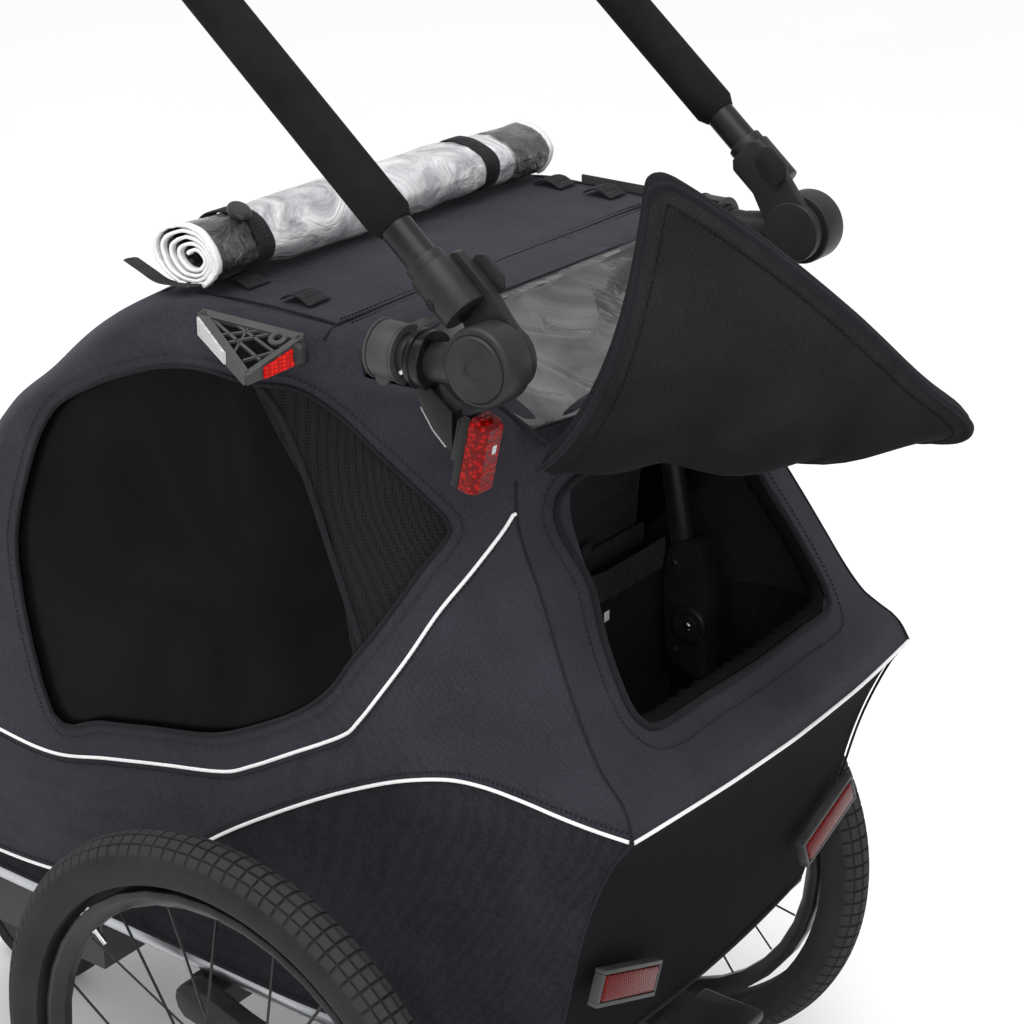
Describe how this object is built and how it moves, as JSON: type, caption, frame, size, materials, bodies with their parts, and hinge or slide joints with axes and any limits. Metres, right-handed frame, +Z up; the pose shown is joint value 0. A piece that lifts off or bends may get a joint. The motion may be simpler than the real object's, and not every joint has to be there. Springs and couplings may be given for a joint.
{
  "type": "child bicycle trailer",
  "caption": "Folding fabric-covered child trailer with spoked side wheels, swivel front wheel, drawbar, tilting handlebar, trunk flap and rolled rain cover.",
  "frame": {"origin": "on the ground, at the middle of the whole length from the trunk flap to the hitch, midway between the wheels", "axes": "+X forwards towards the drawbar, +Y to the trailer's left, +Z up"},
  "size_m": [1.5981, 0.682, 1.2068],
  "materials": {
    "frame_alloy": "satin",
    "black_alloy": "satin black",
    "black_plastic": "matte moulded",
    "grey_plastic": "matte moulded",
    "cabin_fabric": "coated polyester weave",
    "mesh_fabric": "open knit mesh",
    "seat_fabric": "padded weave",
    "window_film": "smoked flexible film",
    "clear_film": "clear flexible film",
    "foam_grip": "closed-cell foam",
    "red_lens": "prismatic gloss",
    "tyre_rubber": "matte rubber"
  },
  "bodies": {
    "chassis": {"side_rail_left": "frame_alloy", "side_rail_right": "frame_alloy", "rear_cross_tube": "frame_alloy", "front_cross_tube": "frame_alloy", "axle_beam": "black_alloy", "floor_tray": "black_plastic", "footwell_tub": "black_plastic", "rear_post_left": "frame_alloy", "rear_post_right": "frame_alloy", "seat_pad": "seat_fabric", "seat_back": "seat_fabric", "buggy_wheel_receiver": "black_plastic", "hitch_receiver": "black_plastic", "cabin_cover": "cabin_fabric", "side_window_left": "window_film", "side_window_right": "window_film", "side_mesh_left": "mesh_fabric", "side_mesh_right": "mesh_fabric", "front_screen": "mesh_fabric", "rear_reflector_left": "red_lens", "rear_reflector_right": "red_lens"},
    "suspension_left": {"suspension_arm_left": "black_plastic"},
    "suspension_right": {"suspension_arm_right": "black_plastic"},
    "wheel_left": {"tyre_left": "tyre_rubber", "rim_left": "black_alloy", "hub_and_spokes_left": "black_alloy"},
    "wheel_right": {"tyre_right": "tyre_rubber", "rim_right": "black_alloy", "hub_and_spokes_right": "black_alloy"},
    "brake": {"brake_pedal": "black_plastic"},
    "buggy_swivel_fork": {"buggy_fork": "black_plastic"},
    "buggy_wheel": {"buggy_rim": "grey_plastic", "buggy_tyre": "tyre_rubber"},
    "drawbar_arm": {"drawbar": "black_alloy"},
    "hitch": {"hitch_coupler": "black_plastic"},
    "drawbar_lock": {"drawbar_lock_knob": "red_lens"},
    "roof_frame": {"roof_hoop_left": "frame_alloy", "roof_hoop_right": "frame_alloy", "roof_front_tube": "frame_alloy", "roof_rear_tube": "frame_alloy", "roof_film": "clear_film", "hinge_base_left": "black_plastic", "hinge_base_right": "black_plastic", "tail_light_bracket": "black_plastic", "tail_light_housing": "black_plastic", "tail_light_lens": "red_lens", "rain_cover_roll": "clear_film", "corner_bumper_left": "grey_plastic", "corner_bumper_right": "grey_plastic", "bumper_reflector_left": "red_lens", "bumper_reflector_right": "red_lens"},
    "folding_struts": {"folding_strut_left": "frame_alloy", "folding_strut_right": "frame_alloy"},
    "handlebar": {"handlebar_socket_left": "black_plastic", "handlebar_socket_right": "black_plastic", "handlebar_tube": "black_alloy", "handlebar_grip": "foam_grip"},
    "quick_release_left": {"quick_release_lever_left": "grey_plastic"},
    "quick_release_right": {"quick_release_lever_right": "grey_plastic"},
    "flap": {"trunk_flap": "cabin_fabric"}
  },
  "joints": [
    {"name": "suspension_left_travel", "type": "hinge", "parent": "chassis", "child": "suspension_left", "pos_m": [-0.251, 0.2315, 0.275], "axis": [0, 1, 0], "range_deg": [-3, 8], "stiffness_Nm_per_rad": 350, "springref_deg": -1.03},
    {"name": "suspension_right_travel", "type": "hinge", "parent": "chassis", "child": "suspension_right", "pos_m": [-0.251, -0.2315, 0.275], "axis": [0, 1, 0], "range_deg": [-3, 8], "stiffness_Nm_per_rad": 350, "springref_deg": -1.03},
    {"name": "wheel_left_spin", "type": "hinge", "parent": "suspension_left", "child": "wheel_left", "pos_m": [-0.356, 0.308, 0.25], "axis": [0, 1, 0], "continuous": true},
    {"name": "wheel_right_spin", "type": "hinge", "parent": "suspension_right", "child": "wheel_right", "pos_m": [-0.356, -0.308, 0.25], "axis": [0, 1, 0], "continuous": true},
    {"name": "brake_pedal_press", "type": "hinge", "parent": "chassis", "child": "brake", "pos_m": [-0.578, 0, 0.268], "axis": [0, -1, 0], "range_deg": [0, 18]},
    {"name": "buggy_fork_swivel", "type": "hinge", "parent": "chassis", "child": "buggy_swivel_fork", "pos_m": [0.244, 0, 0.2], "axis": [0, 0, 1], "continuous": true},
    {"name": "buggy_wheel_spin", "type": "hinge", "parent": "buggy_swivel_fork", "child": "buggy_wheel", "pos_m": [0.209, 0, 0.09], "axis": [0, 1, 0], "continuous": true},
    {"name": "drawbar_slide", "type": "slide", "parent": "chassis", "child": "drawbar_arm", "axis": [1, 0, 0], "range_m": [0, 0.1]},
    {"name": "hitch_turn", "type": "hinge", "parent": "drawbar_arm", "child": "hitch", "pos_m": [0.744, 0.07, 0.33], "axis": [0, 0, 1], "range_deg": [-40, 40]},
    {"name": "drawbar_lock_pull", "type": "slide", "parent": "chassis", "child": "drawbar_lock", "axis": [0, 0, -1], "range_m": [0, 0.01], "stiffness_N_per_m": 800, "springref_m": -0.002},
    {"name": "cabin_fold", "type": "hinge", "parent": "chassis", "child": "roof_frame", "pos_m": [0.149, 0, 0.338], "axis": [0, -1, 0], "range_deg": [0, 34], "deforming": ["cabin_cover", "side_window_left", "side_window_right", "side_mesh_left", "side_mesh_right", "front_screen", "seat_back"]},
    {"name": "strut_fold", "type": "hinge", "parent": "roof_frame", "child": "folding_struts", "pos_m": [-0.441, 0, 0.885], "axis": [0, -1, 0], "range_deg": [0, 72.6]},
    {"name": "handlebar_tilt", "type": "hinge", "parent": "roof_frame", "child": "handlebar", "pos_m": [-0.556, 0, 0.912], "axis": [0, -1, 0], "range_deg": [0, 120]},
    {"name": "quick_release_left_open", "type": "hinge", "parent": "roof_frame", "child": "quick_release_left", "pos_m": [-0.468, 0.2085, 0.922], "axis": [1, 0, 0], "range_deg": [0, 110]},
    {"name": "quick_release_right_open", "type": "hinge", "parent": "roof_frame", "child": "quick_release_right", "pos_m": [-0.468, -0.2085, 0.922], "axis": [-1, 0, 0], "range_deg": [0, 110]},
    {"name": "trunk_flap_hinge", "type": "hinge", "parent": "roof_frame", "child": "flap", "pos_m": [-0.562, 0, 0.822], "axis": [0, -1, 0], "range_deg": [-40, 55]}
  ],
  "couplings": [
    {"joint": "strut_fold", "follows": "cabin_fold", "ratio": 2.1351}
  ]
}
